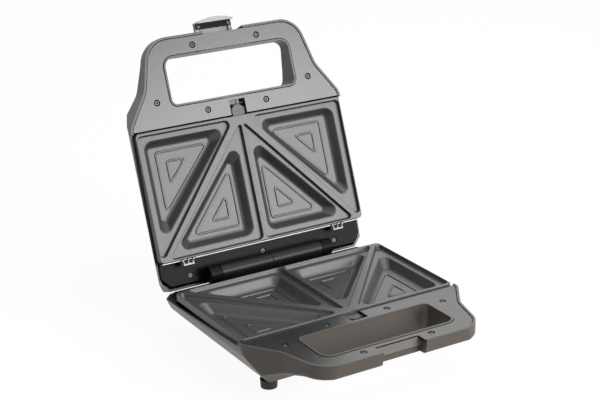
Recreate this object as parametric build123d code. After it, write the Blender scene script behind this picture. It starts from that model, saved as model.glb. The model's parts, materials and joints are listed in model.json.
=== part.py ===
from build123d import *
from math import radians, tan
import os

# Sandwich toaster with a hinged lid, in millimetres. +X is to the right, the front faces -Y, +Z is up.
# Both halves are drawn closed, below the parting plane z = 0, with y = 0 at the plates' front edge.
# The lid's pieces are then mirrored in the parting plane and swung open about the hinge.

# cooking plates: their size sets the width and depth of both halves
plate_half_width = 113.0
plate_depth = 124.0
plate_gap = 0.2  # ridge tops stay this far from the parting plane
plate_wall = 3.0
plate_skirt = 7.0
plate_corner_r = 4.0

# ridges round the four cells of a plate
ridge_height = 3.8
ridge_draft = 14.0
ridge_top_r = 0.45
ridge_foot_r = 0.9
edge_ridge = 1.0
front_ridge = 2.6
back_ridge = 1.4
centre_ridge = 1.1  # half the width of the ridge in the middle
outer_cell_start = 8.0
outer_cell_tip = (5.2, 4.0, 4.6)
inner_cell_start = 3.4
inner_cell_tip = 8.0

# triangular pockets and the land round them
pocket_depth = 8.5
pocket_draft = 32.0
pocket_rim_r = 2.0
pocket_floor_r = 4.0
pocket_corner_r = 4.5  # corners of the floor, seen from above
pocket_point_r = 6.0
pocket_square_r = 9.0
land_front = 6.3
land_side = 7.0
land_back = 6.4
land_middle = 7.3
outer_pocket_start = 15.5
outer_pocket_tip = 16.6
inner_pocket_start = 23.5
inner_pocket_tip = 18.0

# raised ribs on the pocket floors: how far each triangle lies in from the pocket's outline, as
# (first point, straight side, front or back side, last point, corner radius)
outer_rings = [(18.5, 13.0, 10.7, 26.0, 3.0), (44.5, 23.0, 20.6, 53.0, 1.5)]
inner_rings = [(24.5, 9.1, 10.7, 24.0, 3.0), (49.5, 18.6, 20.2, 46.0, 1.5)]
floor_rib_height = 0.9
floor_rib_width = 1.3
floor_rib_r = 0.35

# moulded shells
wall = 2.2
rim_clearance = 0.8  # between a plate's side and the shell
hinge_setback = 20.0  # from the plates' rear edge to the hinge
back_margin = 0.5
back_corner_x = 11.0
back_corner_y = 11.5
back_corner_r = 3.0
case_depth = 47.0
rim_level = 1.2
side_rim_front = 5.0  # how far the side rim lies below the parting plane at the front of the plates
side_rim_back = 13.5
side_rim_end = 3.0
lip_draft = 0.22
lip_bend = (12.5, 14.0)  # depth and radius
bowl_bend = (11.5, 28.5, 30.0)  # inset, depth and radius
bowl_foot = (24.0, 5.0, 14.0)
bowl_flat = 30.0
bowl_front_y = -3.5
bowl_edge_r = 5.0
back_heel_length = 6.0
back_heel_rise = 7.5

# handle: sharp corners of the plan, the radii that round them, and the underside
handle_front_y = -86.0
handle_depth = 15.2
handle_draft = 0.11
handle_taper = 34.2
handle_corner_r = 26.0
handle_edge_r = 4.0
shoulder_margin = 0.9  # the rounded edge stops this far in front of the window's rear edge
neck_taper = 21.1
neck_y = -37.3
neck_r = 25.0
shoulder_y = -5.8
shoulder_r = 16.0
underside = [(-62.0, 16.3, 40.0), (-34.0, 23.4, 40.0), (-15.0, 31.0, 5.0)]

# handle window and its sleeve
grip = 20.6
grip_side = 14.1
window_back_y = -21.1
window_front_r = 9.0
window_back_r = 5.5
sleeve_wall = 1.8
seam = 0.7  # shadow gap between a cover and the shell

# covers and their screws
cover_level = 1.8
cover_wall = 2.5
cover_back_y = -1.5
rear_cover_seam = 2.5
rear_cover_level = 10.5
screw_front = (35.3, 11.4)  # across, and in from the handle's front
screw_side = (15.9, 4.5)  # out and forward from the window's rear corner
screw_middle = (32.2, 10.4)  # across, and behind the window
rear_screw_side = (13.3, 3.0)  # out from the hinge's end, and in front of the hinge
rear_screw_middle = 9.5
screw_head_r = 2.9
screw_head_height = 1.5
screw_shank_r = 1.4
screw_length = 11.0
screw_grip = 2.0  # a pilot hole runs this much past the screw's end
screw_fit = 0.05  # radial gap of a shank in its boss
boss_r = 3.8
sink = 0.2  # depth of a screw head below the face
tongue_side = 0.5  # the lid cover's front tongue is this much wider than the latch on each side
tongue_gap = 0.8
tongue_depth = 3.0

# hinge
hinge_r = 8.0
hinge_pin_r = 2.5
pin_fit = 0.05
pin_cover = 2.0  # the pin stops this far inside the knuckle's end
barrel_end = 56.0
knuckle_end = 68.0
barrel_gap = 0.3
web_half_width = 5.0
web_level = 3.0
lid_open_angle = 110.14

# plate catches
catch_half_width = 6.5
catch_travel = 3.5
catch_bite = 3.0  # how far the catch reaches into the plate
catch_front_y = -11.0
catch_level = 3.4
catch_tab = 1.2
catch_nose = 2.0
catch_foot_depth = 9.6
catch_foot_half_width = 10.4
catch_foot_y = -8.0
catch_ledge_y = -5.0
catch_slot_half_width = 8.6
catch_slot_y = -16.0
catch_mark_y = -4.5
catch_mark_r = 1.0
moulding_hole = (3.5, -12.3)
running_gap = 0.3
spring_r = 1.6
spring_wire_r = 0.35
spring_turns = 4
spring_end_y = -17.5
spring_drop = 0.6
spring_seat = 1.0

# latch clip, placed from the front of the handle
latch_half_width = 20.0
latch_pivot_inset = 11.25
latch_pivot_z = 10.75
latch_stand_off = 2.4
latch_skin = 2.2
latch_cheek = 3.8
latch_top = 2.75
latch_arc = 3.6
latch_shelf = 5.3
latch_hook_inset = 9.0
latch_hook_level = 9.45
latch_crest = 1.0  # the clip's end stays this far above the handle's underside
latch_ear_r = 3.6
latch_pin_r = 1.75
latch_pin_seat = 3.5
latch_pocket_gap = 1.5
latch_fit = 0.15
keeper_side = 2.5
keeper_edge_inset = 13.5
keeper_nose_inset = 8.0
keeper_back_inset = 10.5
keeper_undercut = 0.3
keeper_round = 0.5

# heating
element_r = 3.25
element_inset = 25.0
element_front_y = 18.0
element_back_inset = 14.0
element_leg_x = 16.0
element_leg_length = 6.0
element_bend_r = 12.0
sheet = 0.8
reflector_inset = 10.0
reflector_top_inset = 2.0
reflector_front_y = 3.0
reflector_back_gap = 3.4
reflector_edge_level = 3.3
reflector_lip_level = 10.5
reflector_post_inset = (18.0, 12.0, 15.0)
clip_inset = 29.0
clip_half_width = 6.0
clip_level = 4.0
clip_strip = 0.7
clip_length = 9.0
lug_half_width = 4.0
lug_length = 1.2

# feet
foot_r = 8.0
foot_height = 8.0
foot_taper = 0.5
foot_front = (33.5, 6.3)  # in from the side, and behind the plates' front edge
foot_rear = (56.0, 18.5)  # in from the side and from the back
foot_boss = 8.0
foot_screw_length = 9.0

# cord bush and small parts inside
bush_x = -60.0
bush_z = -27.0
bush_r = 6.0
bush_bore_r = 3.9
bush_lip = 1.0
bush_flange_r = 7.5
bush_flange = 2.0
bush_nose = 5.0
terminal_size = (32.0, 12.0, 13.0)
terminal_setback = 28.5
terminal_pitch = 10.0
terminal_bore_r = 2.0
terminal_screw_r = 1.8
terminal_bore_level = 5.0
thermostat_r = 8.0
thermostat_height = 6.0
thermostat_cap = (6.5, 2.5)
thermostat_ear = (11.0, 2.0)
fuse_x = 30.0
fuse_length = 14.0
fuse_r = 2.2
fuse_lead = 3.0
fuse_lead_r = 0.6
fuse_gap = 0.1

# indicator lamps on the lid
lens_x = 9.0
lens_y = 12.0
lens_r = 3.6
lens_flange_r = 4.8
lens_flange = 1.5
lens_stand = 1.0
lamp_post_r = 2.5
lamp_post = 3.0
lamp_block = (6.0, 5.0)

# worked out from the values above
body_half_width = plate_half_width + rim_clearance + wall
hinge_y = plate_depth + hinge_setback
body_back_y = hinge_y + hinge_r + back_margin
side_rim_length = hinge_y - side_rim_end
handle_corner_x = body_half_width - handle_taper
neck_x = body_half_width - neck_taper
window_half_width = handle_corner_x - grip_side
window_front_y = handle_front_y + grip
handle_screws = [
    (screw_front[0], handle_front_y + screw_front[1]),
    (window_half_width + screw_side[0], window_back_y - screw_side[1]),
    (screw_middle[0], window_back_y + screw_middle[1]),
]
rear_screws = [
    (knuckle_end + rear_screw_side[0], hinge_y - rear_screw_side[1]),
    (0.0, hinge_y - rear_screw_middle),
]
cell_side = plate_half_width - edge_ridge
cell_back = plate_depth - back_ridge
latch_pivot_y = handle_front_y + latch_pivot_inset
latch_reach = latch_pivot_inset + latch_stand_off  # pivot to the outer face of the clip
latch_drop = latch_pivot_z + handle_depth - latch_crest  # pivot to the crest of the clip's end
latch_hook_y = handle_front_y + latch_hook_inset
keeper_half_width = latch_half_width + keeper_side
keeper_edge_y = handle_front_y + keeper_edge_inset
keeper_nose_y = handle_front_y + keeper_nose_inset
keeper_back_y = handle_front_y + keeper_back_inset
keeper_root_z = latch_hook_level - latch_fit
keeper_nose_z = keeper_root_z - keeper_undercut
element_half_width = plate_half_width - element_inset
element_back_y = plate_depth - element_back_inset
reflector_half_width = plate_half_width - reflector_inset
reflector_top_half_width = plate_half_width - reflector_top_inset
reflector_back_y = plate_depth + reflector_back_gap
reflector_posts = [
    (element_half_width - reflector_post_inset[0], element_front_y + reflector_post_inset[1]),
    (element_half_width - reflector_post_inset[0], element_back_y - reflector_post_inset[2]),
]
rear_cover_front_y = reflector_back_y + sheet
clip_x = plate_half_width - clip_inset
foot_places = [
    ("front", body_half_width - foot_front[0], foot_front[1]),
    ("rear", body_half_width - foot_rear[0], body_back_y - foot_rear[1]),
]
pocket_floor = plate_gap + ridge_height + pocket_depth
plate_underside = pocket_floor + plate_wall
element_z = -(plate_underside + running_gap + element_r)
reflector_floor = -element_z + element_r + running_gap
reflector_underside = reflector_floor + sheet
hinge_axis = Axis((0, hinge_y, 0), (1, 0, 0))
high = case_depth + 13.0  # tall enough to pass right through one half


def outline(corners):
    """Closed flat outline from (x, y, corner radius) triples."""
    points = [(x, y) for x, y, _ in corners]
    return make_face(FilletPolyline(*points, radius=[r for _, _, r in corners], close=True))


def both_sides(corners):
    """The right-hand corners, front to rear, followed by their mirror images."""
    return corners + [(-x, y, r) for x, y, r in reversed(corners)]


def drawn_in(face, amount):
    return offset(face, -amount) if amount else face


def profile_yz(corners, half_width):
    """Solid across X, from a side-view outline of (y, z, radius)."""
    return extrude(Plane.YZ * outline(corners), amount=half_width, both=True)


def block(x0, x1, y0, y1, z0, z1):
    return Pos((x0 + x1) / 2, (y0 + y1) / 2, (z0 + z1) / 2) * Box(x1 - x0, y1 - y0, z1 - z0)


def column(x, y, z0, z1, r):
    """Upright cylinder between two heights."""
    return Pos(x, y, (z0 + z1) / 2) * Cylinder(r, z1 - z0)


def cross_bar(x0, x1, y, z, r):
    """Cylinder along X."""
    return Pos((x0 + x1) / 2, y, z) * Rot(0, 90, 0) * Cylinder(r, x1 - x0)


def left_and_right(places):
    """Each (x, y) place and its mirror image, once when it lies in the middle."""
    return [(side * x, y) for x, y in places for side in ((1, -1) if x else (1,))]


def plan_face(inset=0.0):
    corners = [
        (handle_corner_x, handle_front_y, handle_corner_r),
        (neck_x, neck_y, neck_r),
        (body_half_width, shoulder_y, shoulder_r),
        (body_half_width, body_back_y - back_corner_y, back_corner_r),
        (body_half_width - back_corner_x, body_back_y, back_corner_r),
    ]
    return drawn_in(outline(both_sides(corners)), inset)


def window_face(grow=0.0):
    corners = [
        (window_half_width, window_front_y, window_front_r),
        (window_half_width, window_back_y, window_back_r),
    ]
    return drawn_in(outline(both_sides(corners)), -grow)


def side_profile():
    """Side view of one half: handle underside, step down to the body, bottom and back."""
    front = [
        (handle_front_y - handle_draft * high, high, 0),
        (handle_front_y + handle_draft * handle_depth, -handle_depth, handle_edge_r),
    ]
    under = [(y, -depth, radius) for y, depth, radius in underside]
    body = [
        (bowl_front_y, -case_depth, bowl_edge_r),
        (body_back_y - back_heel_length, -case_depth, bowl_edge_r),
        (body_back_y + back_heel_length, 2 * back_heel_rise - case_depth, 0),
        (body_back_y + back_heel_length, high, 0),
    ]
    return front + under + body


def front_profile():
    """Front view of the bowl: upright lip, then sides that draw in to the flat bottom."""
    bend, bend_r = lip_bend
    inset, depth, radius = bowl_bend
    foot_inset, foot_rise, foot_round = bowl_foot
    side = [
        (body_half_width + lip_draft * (high + side_rim_front), high, 0),
        (body_half_width - lip_draft * (bend - side_rim_front), -bend, bend_r),
        (body_half_width - inset, -depth, radius),
        (body_half_width - foot_inset, foot_rise - case_depth, foot_round),
        (body_half_width - bowl_flat, -case_depth, bowl_edge_r),
    ]
    return both_sides(side)


def hard_edges(solid, y_limit):
    """Edges below the rim and in front of y_limit where two faces meet at an angle."""
    faces_at = {}
    for face in solid.faces():
        for edge in face.edges():
            faces_at.setdefault(edge, []).append(face)
    found = []
    for edge, faces in faces_at.items():
        middle = edge @ 0.5
        if len(faces) == 2 and middle.Z < 0 and middle.Y < y_limit:
            first, second = [face.normal_at(middle) for face in faces]
            if first.get_angle(second) > 12:
                found.append(edge)
    return found


def case_form(inset=0.0):
    """Outer form of one half, or the space inside it when drawn in by the wall."""
    plan = Pos(0, 0, -high) * extrude(plan_face(inset), amount=2 * high)
    length = body_back_y - handle_front_y
    side = Plane.YZ * drawn_in(outline(side_profile()), inset)
    front = Plane.XZ * drawn_in(outline(front_profile()), inset)
    form = plan & extrude(side, amount=body_half_width + wall, both=True)
    form = form & extrude(front, amount=length, both=True)
    return fillet(hard_edges(form, window_back_y - shoulder_margin), handle_edge_r - inset)


def above_rim():
    """Everything above the shell's rim: level round the handle, then sloping down to the back."""
    far = 2 * body_back_y
    return profile_yz(
        [
            (-far, -rim_level, 0),
            (0.0, -rim_level, 0),
            (0.0, -side_rim_front, 0),
            (side_rim_length, -side_rim_back, 0),
            (far, -side_rim_back, 0),
            (far, 2 * high, 0),
            (-far, 2 * high, 0),
        ],
        2 * body_half_width,
    )


def screw_bosses(places, top, form):
    """Columns from a cover's underside down to the shell, with pilot holes."""
    posts = [column(x, y, -high, top, boss_r) for x, y in left_and_right(places)]
    pilots = [
        column(x, y, top - screw_length, top, screw_shank_r + screw_fit) for x, y in left_and_right(places)
    ]
    return (Part() + posts) & form, pilots


def catch_bed(form):
    """Channel that the plate catch slides in, with the spring's socket and a moulding hole."""
    inner = catch_foot_half_width + running_gap
    outer = inner + wall
    top = -(cover_level + cover_wall)
    floor = -(catch_foot_depth + running_gap)
    front = window_back_y + sleeve_wall
    bed = block(-outer, outer, front, cover_back_y, floor - 2 * wall, top)
    ribs = [block(s * outer - wall, s * outer + wall, front, cover_back_y, -high, floor) for s in (-1, 1)]
    channel = block(-inner, inner, catch_foot_y - catch_travel - running_gap, high, floor, high)
    ledge = block(-inner, inner, front, catch_ledge_y, -(catch_level + catch_tab + running_gap), high)
    socket_end = spring_end_y - spring_seat
    socket = Pos(0, (socket_end + catch_foot_y) / 2, spring_z()) * Rot(90, 0, 0) * Cylinder(
        spring_r + spring_wire_r + running_gap, catch_foot_y - socket_end
    )
    hole_x, hole_y = moulding_hole
    hole = block(hole_x, catch_slot_half_width, catch_slot_y, hole_y, floor - wall, high)
    return (bed + ribs) & form, [channel, ledge, socket, hole]


def spring_z():
    return -(catch_level + catch_foot_depth) / 2 - spring_drop


def element_face_posts(form):
    """Posts under the reflector, with pilot holes for its screws."""
    top = -reflector_underside
    places = left_and_right(reflector_posts)
    posts = [column(x, y, -high, top, boss_r) for x, y in places]
    pilots = [column(x, y, top - screw_length, top, screw_shank_r + screw_fit) for x, y in places]
    return (Part() + posts) & form, pilots


def common_shell():
    """Shell shared by both halves, with its bosses, sleeve and catch channel."""
    form = case_form()
    shell = form - case_form(wall)
    sleeve = Pos(0, 0, -high) * extrude(window_face(sleeve_wall), amount=high) & form
    handle_bosses, handle_pilots = screw_bosses(handle_screws, -(cover_level + cover_wall), form)
    rear_bosses, rear_pilots = screw_bosses(rear_screws, -(rear_cover_level + cover_wall), form)
    posts, post_pilots = element_face_posts(form)
    bed, bed_cuts = catch_bed(form)
    shell = shell + sleeve + handle_bosses + rear_bosses + posts + bed
    hole = Pos(0, 0, -high) * extrude(window_face(), amount=2 * high)
    shell = shell - hole - above_rim() - bed_cuts - handle_pilots - rear_pilots - post_pilots
    return shell, form


def keeper_profile(z_top):
    """Side view of what is cut away in front of the latch keeper: ramp, nose and undercut."""
    return [
        (keeper_edge_y, z_top, 0),
        (keeper_edge_y, -cover_level, 0),
        (keeper_nose_y, -keeper_nose_z, keeper_round),
        (keeper_back_y, -keeper_root_z, keeper_round),
        (keeper_back_y, -high, 0),
        (handle_front_y - wall, -high, 0),
        (handle_front_y - wall, z_top, 0),
    ]


def base_shell():
    shell, form = common_shell()
    keeper = block(
        -keeper_half_width - wall, keeper_half_width + wall, handle_front_y, keeper_edge_y + wall,
        -high, -(cover_level + cover_wall),
    )
    lip = block(
        -keeper_half_width + seam, keeper_half_width - seam, handle_front_y, keeper_edge_y - seam,
        -high, -cover_level,
    )
    shell = shell + ((keeper + lip) & form) - profile_yz(keeper_profile(high), keeper_half_width)
    boss_top = -case_depth + wall + foot_boss
    for _, foot_x, y in foot_places:
        for x in (-foot_x, foot_x):
            shell = shell + (column(x, y, -case_depth, boss_top, boss_r) & form)
            shell = shell - column(x, y, -case_depth, boss_top - 1.0, screw_shank_r + screw_fit)
    bush_hole = Pos(bush_x, body_back_y, bush_z) * Rot(90, 0, 0) * Cylinder(bush_r + pin_fit, 4 * wall)
    return shell - bush_hole


def lid_pocket():
    """Opening in the lid's front that the latch clip swings in, drawn like the base."""
    side = latch_half_width + latch_pocket_gap
    back = window_front_y - sleeve_wall - wall
    return block(-side, side, handle_front_y - wall, back, -high, high), side, back


def lid_shell():
    shell, form = common_shell()
    pocket, side, back = lid_pocket()
    top = -(cover_level + cover_wall)
    reach = side + latch_pin_seat + running_gap
    cheeks = block(-reach - wall / 2, reach + wall / 2, handle_front_y, back + wall, -high, top)
    pin_hole = cross_bar(-reach, reach, latch_pivot_y, -latch_pivot_z, latch_pin_r + pin_fit)
    shell = shell + (cheeks & form) - pocket - pin_hole
    roof = -case_depth + wall
    for x in (-lens_x, lens_x):
        shell = shell - column(x, lens_y, -case_depth - 1, roof + 1, lens_r + pin_fit)
    for x in (-2 * lens_x, 2 * lens_x):
        shell = shell + column(x, lens_y, -case_depth + wall / 2, roof + lamp_post, lamp_post_r)
    return shell


def screw_hole(x, y, top):
    """Counterbored hole through a cover."""
    seat = top - sink - screw_head_height
    return [
        column(x, y, seat, top + 1, screw_head_r + running_gap),
        column(x, y, top - cover_wall - 1, seat, screw_shank_r + running_gap),
    ]


def handle_cover():
    """Cover over the inside of one handle, before the latch cut-out."""
    face = plan_face(wall + seam)
    plate = Pos(0, 0, -(cover_level + cover_wall)) * extrude(face, amount=cover_wall)
    plate = plate & block(-high * 2, high * 2, -high * 2, cover_back_y, -high, high)
    hole = Pos(0, 0, -high) * extrude(window_face(sleeve_wall + seam), amount=2 * high)
    slot = block(-catch_slot_half_width, catch_slot_half_width, catch_slot_y, high, -high, high)
    cover = plate - hole - slot
    for x, y in left_and_right(handle_screws):
        cover = cover - screw_hole(x, y, -cover_level)
    return cover


def base_handle_cover():
    side = keeper_half_width
    return handle_cover() - block(-side, side, handle_front_y, keeper_edge_y, -high, high)


def lid_handle_cover():
    """Reaches further forward in the middle, where the rim is cut away for the latch."""
    side = latch_half_width + tongue_side
    front = handle_front_y + wall + tongue_gap
    tongue = block(-side, side, front, front + tongue_depth, -cover_level - cover_wall, -cover_level)
    return handle_cover() + tongue


def rear_cover(barrels):
    """Rear panel with its share of the hinge; barrels are (x from, x to) pairs."""
    top = -rear_cover_level
    plate = Pos(0, 0, top - cover_wall) * extrude(plan_face(wall + rear_cover_seam), amount=cover_wall)
    plate = plate & block(-high * 2, high * 2, rear_cover_front_y, high * 4, -high, high)
    for x, y in left_and_right(rear_screws):
        plate = plate - screw_hole(x, y, top)
    web_top = hinge_r - 1.0
    web = [
        (hinge_y - web_half_width, top - cover_wall / 2, 0),
        (hinge_y + web_half_width, top - cover_wall / 2, 0),
        (hinge_y + web_top, -web_level, 0),
        (hinge_y - web_top, -web_level, 0),
    ]
    face = Plane.YZ * outline(web)
    for x0, x1 in barrels:
        plate = plate + Pos(x0, 0, 0) * extrude(face, amount=x1 - x0) + cross_bar(x0, x1, hinge_y, 0, hinge_r)
    pin = hinge_pin_length() + 2 * barrel_gap
    return plate - cross_bar(-pin / 2, pin / 2, hinge_y, 0, hinge_pin_r + pin_fit)


def hinge_pin_length():
    return 2 * (knuckle_end - pin_cover)


def base_rear_cover():
    g = barrel_gap
    return rear_cover([(-barrel_end + g, -g), (g, barrel_end - g)])


def lid_rear_cover():
    g = barrel_gap
    return rear_cover([(-knuckle_end, -barrel_end - g), (barrel_end + g, knuckle_end)])


def screws(places, top):
    """Pan-head screws sunk in their counterbores."""
    head = top - sink
    seat = head - screw_head_height
    found = []
    for x, y in left_and_right(places):
        shank = column(x, y, seat - screw_length + screw_grip, seat, screw_shank_r)
        found.append(column(x, y, seat, head, screw_head_r) + shank)
    return found


def reflector_screws():
    """Screws that hold the reflector on its posts, heads inside the tray."""
    seat = -reflector_floor
    return [
        column(x, y, seat, seat + screw_head_height, screw_head_r)
        + column(x, y, seat - screw_length + screw_grip, seat, screw_shank_r)
        for x, y in left_and_right(reflector_posts)
    ]


def cells():
    """Top outlines of the two triangular cells on the right half of a plate."""
    in_x, in_y, side_y = outer_cell_tip
    outer = [
        (outer_cell_start, front_ridge, 5.0),
        (cell_side, front_ridge, 5.0),
        (cell_side, cell_back - side_y, 3.0),
        (cell_side - in_x, cell_back - in_y, 3.0),
    ]
    inner = [
        (centre_ridge, front_ridge + inner_cell_start, 2.0),
        (cell_side - inner_cell_tip, cell_back, 3.0),
        (centre_ridge, cell_back, 5.0),
    ]
    return outer, inner


def outer_pocket():
    """Outline, at the level of the land, of the pocket with its square corner at the front."""
    side = cell_side - land_side
    front = front_ridge + land_front
    return [
        (outer_pocket_start, front, pocket_point_r),
        (side, front, pocket_square_r),
        (side, cell_back - outer_pocket_tip, pocket_point_r),
    ]


def inner_pocket():
    """Outline of the pocket with its square corner at the back, beside the middle ridge."""
    side = centre_ridge + land_middle
    back = cell_back - land_back
    return [
        (side, inner_pocket_start, pocket_point_r),
        (cell_side - inner_pocket_tip, back, pocket_point_r),
        (side, back, pocket_square_r),
    ]


def floor_outline(corners):
    """Outline of a pocket's floor: the upper outline drawn in by the slope of the walls."""
    sharp = outline([(x, y, 0) for x, y, _ in corners])
    floor = offset(sharp, -pocket_depth * tan(radians(pocket_draft)), kind=Kind.INTERSECTION)
    return fillet(floor.vertices(), pocket_corner_r)


def bowl(corners):
    """Space of one pocket, with walls that lean out and a rounded foot."""
    land = -(plate_gap + ridge_height)
    floor = land - pocket_depth
    space = loft([Pos(0, 0, land) * outline(corners), Pos(0, 0, floor) * floor_outline(corners)], ruled=True)
    return fillet(space.edges().group_by(Axis.Z)[0], pocket_floor_r)


def floor_rings():
    """Triangles traced by the raised ribs on the floors of the outer and the inner pocket."""
    (x0, y0, _), (x1, _, _), (_, y1, _) = outer_pocket()
    found = [
        [(x0 + start, y0 + front, r), (x1 - side, y0 + front, r), (x1 - side, y1 - end, r)]
        for start, side, front, end, r in outer_rings
    ]
    (x0, y0, _), (x1, y1, _), _ = inner_pocket()
    return found + [
        [(x0 + side, y0 + start, r), (x1 - end, y1 - back, r), (x0 + side, y1 - back, r)]
        for start, side, back, end, r in inner_rings
    ]


def floor_rib(corners):
    """One raised triangle, rounded along its top."""
    face = outline(corners) - drawn_in(outline(corners), floor_rib_width)
    rib = Pos(0, 0, -pocket_floor - floor_rib_r) * extrude(face, amount=floor_rib_height + floor_rib_r)
    return fillet(rib.edges().group_by(Axis.Z)[-1], floor_rib_r)


def mirrored_pair(solid):
    return [solid, mirror(solid, about=Plane.YZ)]


def level_edges(solid, level):
    """Edges that lie flat at one height."""
    return solid.edges().filter_by_position(Axis.Z, level - 0.001, level + 0.001).filter_by(
        lambda edge: edge.bounding_box().size.Z < 0.001
    )


def plate():
    """Cast cooking plate: ridges round four cells, a tapered pocket and ribs in each."""
    land = -(plate_gap + ridge_height)
    corners = [
        (plate_half_width, 0.0, plate_corner_r),
        (plate_half_width, plate_depth, plate_corner_r),
    ]
    body = Pos(0, 0, -plate_skirt) * extrude(outline(both_sides(corners)), amount=plate_skirt - plate_gap)
    spaces, rim_middles = [], []
    for corners in cells():
        cell = Pos(0, 0, -plate_gap) * extrude(outline(corners), amount=-ridge_height, taper=ridge_draft)
        spaces += mirrored_pair(fillet(cell.edges().group_by(Axis.Z)[0], ridge_foot_r))
    for corners in (outer_pocket(), inner_pocket()):
        under = drawn_in(outline(corners), -plate_wall + 1.0)
        under = extrude(under, amount=plate_underside - plate_skirt + ridge_foot_r)
        body = body + mirrored_pair(Pos(0, 0, -plate_underside) * under)
        bowls = mirrored_pair(bowl(corners))
        rim_middles += [edge.center() for space in bowls for edge in level_edges(space, land)]
        spaces += bowls
    body = body - spaces
    rims = [
        edge for edge in level_edges(body, land)
        if any((edge.center() - middle).length < running_gap for middle in rim_middles)
    ]
    body = fillet(rims, pocket_rim_r)
    body = fillet(level_edges(body, -plate_gap), ridge_top_r)
    ribs = [rib for corners in floor_rings() for rib in mirrored_pair(floor_rib(corners))]
    side = catch_half_width + running_gap
    catch_slot = block(
        -side, side, -wall, catch_bite + running_gap,
        -(catch_level + catch_nose + running_gap), -(catch_level - running_gap),
    )
    lug_top = -(clip_level + clip_strip + running_gap)
    lugs = [
        block(s * clip_x - lug_half_width, s * clip_x + lug_half_width, plate_depth - wall,
              plate_depth + lug_length, -plate_skirt, lug_top)
        for s in (-1, 1)
    ]
    return body + ribs + lugs - catch_slot


def plate_clips():
    """Bent spring strips that hold the plate's rear lugs down."""
    back = reflector_back_y - sheet
    found = []
    for side in (-1, 1):
        x0, x1 = side * clip_x - clip_half_width, side * clip_x + clip_half_width
        hook = block(x0, x1, plate_depth + running_gap, back, -clip_level - clip_strip, -clip_level)
        leg = block(x0, x1, back - clip_strip, back, -clip_level - clip_length, -clip_level)
        found.append(hook + leg)
    return found


def catch():
    """Plate catch: rounded thumb tab, sliding foot and the nose that enters the plate."""
    w = catch_half_width
    tab_top = -catch_level
    tab_low = tab_top - catch_tab
    face = outline([(w, catch_front_y, w - 0.1), (w, 0, 0), (-w, 0, 0), (-w, catch_front_y, w - 0.1)])
    tab = Pos(0, 0, tab_low) * extrude(face, amount=catch_tab)
    nose = block(-w, w, cover_back_y - 1, catch_bite, tab_top - catch_nose, tab_top)
    foot = block(
        -catch_foot_half_width, catch_foot_half_width, catch_foot_y, cover_back_y - running_gap,
        -catch_foot_depth, -(cover_level + cover_wall + running_gap),
    )
    mark = column(0, catch_mark_y, tab_low, tab_top + running_gap, catch_mark_r)
    return tab + nose + foot + mark


def catch_spring():
    """Compression spring between the catch's foot and the end of its socket."""
    length = catch_foot_y - spring_end_y - 2 * spring_wire_r
    coil = Helix(pitch=length / spring_turns, height=length, radius=spring_r)
    wire = Plane(origin=coil @ 0, z_dir=coil % 0) * Circle(spring_wire_r)
    turns = sweep(wire, path=coil)
    return Pos(0, catch_foot_y - spring_wire_r, spring_z()) * Rot(90, 0, 0) * turns


def element():
    """Tubular heater bent into an open loop with two legs to the back."""
    legs_y = reflector_back_y + element_leg_length
    route = [
        (-element_leg_x, legs_y, element_z),
        (-element_leg_x, element_back_y, element_z),
        (-element_half_width, element_back_y, element_z),
        (-element_half_width, element_front_y, element_z),
        (element_half_width, element_front_y, element_z),
        (element_half_width, element_back_y, element_z),
        (element_leg_x, element_back_y, element_z),
        (element_leg_x, legs_y, element_z),
    ]
    path = FilletPolyline(*route, radius=element_bend_r)
    return sweep(Plane(origin=path @ 0, z_dir=path % 0) * Circle(element_r), path=path)


def reflector():
    """Polished sheet tray; its taller back edge shows behind the plate."""
    w, f, b = reflector_half_width, reflector_front_y, reflector_back_y
    side_top = -(plate_underside + running_gap)
    tray = block(-w, w, f, b, -reflector_underside, side_top)
    tray = tray - block(-w + sheet, w - sheet, f + sheet, b - sheet, -reflector_floor, high)
    edge = [
        (reflector_top_half_width, -reflector_edge_level, sheet),
        (reflector_top_half_width, -reflector_lip_level, sheet),
        (w, side_top, 0),
        (w, -reflector_floor, 0),
    ]
    back = Pos(0, b, 0) * extrude(Plane.XZ * outline(both_sides(edge)), amount=sheet)
    tray = tray + back
    for x in (-element_leg_x, element_leg_x):
        hole = Pos(x, b, element_z) * Rot(90, 0, 0) * Cylinder(element_r + running_gap, 6 * sheet)
        tray = tray - hole
    for x, y in left_and_right(reflector_posts):
        tray = tray - column(x, y, -high, sheet - reflector_floor, screw_shank_r + screw_fit)
    return tray


def latch_clip():
    """Clip in its hooked place, drawn as it hangs in front of the closed handles."""
    w = latch_half_width
    face_y = latch_pivot_y - latch_reach
    inner_y = face_y + latch_skin
    top = latch_pivot_z + latch_top
    crest = latch_pivot_z - latch_drop
    corner = crest + latch_arc
    arc = ThreePointArc((w, corner), (0, crest), (-w, corner))
    front = make_face(Polyline((-w, corner), (-w, top), (w, top), (w, corner)) + arc)
    whole = Pos(0, latch_hook_y, 0) * extrude(Plane.XZ * front, amount=latch_hook_y - face_y)
    hollow = block(-w + latch_cheek, w - latch_cheek, inner_y, high, -latch_hook_level, top - latch_skin)
    behind = profile_yz(
        [
            (inner_y + latch_skin, -latch_hook_level, 0),
            (inner_y + latch_skin, latch_shelf, latch_skin / 2),
            (high, latch_shelf, 0),
            (high, -latch_hook_level, 0),
        ],
        w + 1,
    )
    above = block(-w - 1, w + 1, latch_hook_y - latch_skin, high, -latch_hook_level, high)
    clip = whole - hollow - behind - above
    for s in (-1, 1):
        x0, x1 = sorted((s * w, s * (w - latch_cheek)))
        ear = cross_bar(x0, x1, latch_pivot_y, latch_pivot_z, latch_ear_r)
        arm = block(x0, x1, inner_y, latch_pivot_y, latch_pivot_z - latch_ear_r, top)
        clip = clip + ear + arm
    return clip - cross_bar(-w - 1, w + 1, latch_pivot_y, latch_pivot_z, latch_pin_r + pin_fit)


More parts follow.
